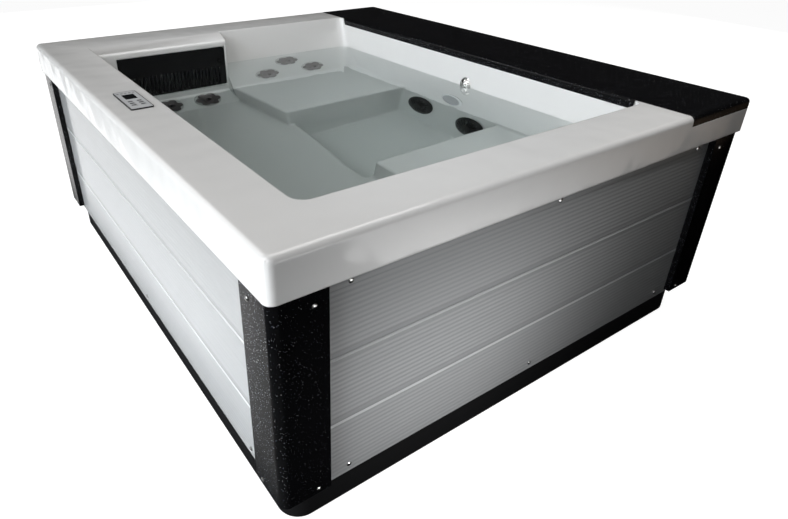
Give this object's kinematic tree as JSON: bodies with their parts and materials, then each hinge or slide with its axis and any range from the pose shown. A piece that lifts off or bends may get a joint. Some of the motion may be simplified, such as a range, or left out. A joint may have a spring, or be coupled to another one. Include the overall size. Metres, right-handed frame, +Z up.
{
  "type": "hot tub",
  "caption": "Rectangular free-standing hot tub with a moulded white shell, ribbed grey planks, black corner posts and a lift-off lid over its pump bay.",
  "frame": {"origin": "on the floor under the middle of the tub", "axes": "+Z up, +X towards the equipment lid, +Y along the length towards the filter end"},
  "size_m": [1.72, 2, 0.8048],
  "materials": {
    "acrylic_white": "glossy moulded acrylic",
    "lid_black": "polished black with a fine light speckle",
    "post_black": "polished black with a fine light speckle",
    "plank_grey": "ribbed grey composite",
    "base_black": "moulded black",
    "frame_timber": "planed softwood",
    "stainless": "bright steel",
    "panel_silver": "satin silver with a dark edge",
    "display_dark": "dark window",
    "button_grey": "soft grey keys",
    "grille_black": "black moulded",
    "filter_cloth": "pleated white cloth",
    "jet_plastic": "dark grey moulded",
    "jet_metal": "brushed steel over grey",
    "cover_black": "black moulded",
    "lens_clear": "clear ribbed lens",
    "overflow_chrome": "bright plate",
    "motor_grey": "painted casting",
    "pump_plastic": "black moulded",
    "heater_steel": "steel tube",
    "pipe_white": "white pipe"
  },
  "bodies": {
    "tub": {"tub_shell": "acrylic_white", "corner_post_front_left": "post_black", "corner_post_front_right": "post_black", "corner_post_back_right": "post_black", "corner_post_back_left": "post_black", "plank_front_1": "plank_grey", "plank_front_2": "plank_grey", "plank_front_3": "plank_grey", "plank_back_1": "plank_grey", "plank_back_2": "plank_grey", "plank_back_3": "plank_grey", "plank_left_1": "plank_grey", "plank_left_2": "plank_grey", "plank_left_3": "plank_grey", "plank_right_1": "plank_grey", "plank_right_2": "plank_grey", "plank_right_3": "plank_grey", "base_pan": "base_black", "frame_uprights": "frame_timber", "frame_rails": "frame_timber", "frame_battens": "frame_timber", "cladding_screws": "stainless", "control_panel": "panel_silver", "control_display": "display_dark", "filter_cartridge_1": "filter_cloth", "filter_cartridge_2": "filter_cloth", "jet_body_1": "jet_plastic", "jet_body_2": "jet_plastic", "jet_body_3": "jet_plastic", "jet_body_4": "jet_plastic", "jet_body_5": "jet_plastic", "jet_nuts": "jet_plastic", "suction_bodies": "jet_plastic", "light_housing": "jet_plastic", "filter_box": "jet_plastic", "suction_cover_1": "cover_black", "suction_cover_2": "cover_black", "light_lens": "lens_clear", "overflow_fitting": "overflow_chrome", "pump_motor": "motor_grey", "pump_volute": "pump_plastic", "control_pack": "pump_plastic", "heater": "heater_steel", "jet_manifold": "pipe_white", "suction_manifold": "pipe_white"},
    "lid": {"equipment_lid": "lid_black"},
    "grille": {"filter_grille": "grille_black"},
    "knob": {"grille_knob": "grille_black"},
    "impeller": {"pump_impeller": "pump_plastic"},
    "jet_1": {"jet_face_1": "jet_metal"},
    "jet_2": {"jet_face_2": "jet_metal"},
    "jet_3": {"jet_face_3": "jet_metal"},
    "jet_4": {"jet_face_4": "jet_metal"},
    "jet_5": {"jet_face_5": "jet_metal"},
    "button_1": {"control_button_1": "button_grey"},
    "button_2": {"control_button_2": "button_grey"},
    "button_3": {"control_button_3": "button_grey"},
    "button_4": {"control_button_4": "button_grey"},
    "button_5": {"control_button_5": "button_grey"},
    "button_6": {"control_button_6": "button_grey"}
  },
  "joints": [
    {"name": "lid_lift", "type": "slide", "parent": "tub", "child": "lid", "axis": [0, 0, 1], "range_m": [0, 0.35]},
    {"name": "grille_pull", "type": "slide", "parent": "tub", "child": "grille", "axis": [0, -1, 0], "range_m": [0, 0.12]},
    {"name": "knob_turn", "type": "hinge", "parent": "grille", "child": "knob", "pos_m": [-0.179, 0.739, 0.696], "axis": [0, -1, 0], "range_deg": [0, 90]},
    {"name": "impeller_spin", "type": "hinge", "parent": "tub", "child": "impeller", "pos_m": [0.655, 0.38, 0.16], "axis": [0, 1, 0], "continuous": true},
    {"name": "jet_turn_1", "type": "hinge", "parent": "tub", "child": "jet_1", "pos_m": [0.169, 0.76023, 0.583], "axis": [0, -0.9641, 0.2656], "range_deg": [-60, 60]},
    {"name": "jet_turn_2", "type": "hinge", "parent": "tub", "child": "jet_2", "pos_m": [0.291, 0.72525, 0.456], "axis": [0, -0.9641, 0.2656], "range_deg": [-60, 60]},
    {"name": "jet_turn_3", "type": "hinge", "parent": "tub", "child": "jet_3", "pos_m": [0.047, 0.72525, 0.456], "axis": [0, -0.9641, 0.2656], "range_deg": [-60, 60]},
    {"name": "jet_turn_4", "type": "hinge", "parent": "tub", "child": "jet_4", "pos_m": [-0.268, 0.692, 0.286], "axis": [0, -0.7071, 0.7071], "range_deg": [-60, 60]},
    {"name": "jet_turn_5", "type": "hinge", "parent": "tub", "child": "jet_5", "pos_m": [-0.44, 0.692, 0.286], "axis": [0, -0.7071, 0.7071], "range_deg": [-60, 60]},
    {"name": "button_press_1", "type": "slide", "parent": "tub", "child": "button_1", "axis": [0, 0, -1], "range_m": [0, 0.0008], "stiffness_N_per_m": 2500},
    {"name": "button_press_2", "type": "slide", "parent": "tub", "child": "button_2", "axis": [0, 0, -1], "range_m": [0, 0.0008], "stiffness_N_per_m": 2500},
    {"name": "button_press_3", "type": "slide", "parent": "tub", "child": "button_3", "axis": [0, 0, -1], "range_m": [0, 0.0008], "stiffness_N_per_m": 2500},
    {"name": "button_press_4", "type": "slide", "parent": "tub", "child": "button_4", "axis": [0, 0, -1], "range_m": [0, 0.0008], "stiffness_N_per_m": 2500},
    {"name": "button_press_5", "type": "slide", "parent": "tub", "child": "button_5", "axis": [0, 0, -1], "range_m": [0, 0.0008], "stiffness_N_per_m": 2500},
    {"name": "button_press_6", "type": "slide", "parent": "tub", "child": "button_6", "axis": [0, 0, -1], "range_m": [0, 0.0008], "stiffness_N_per_m": 2500}
  ]
}
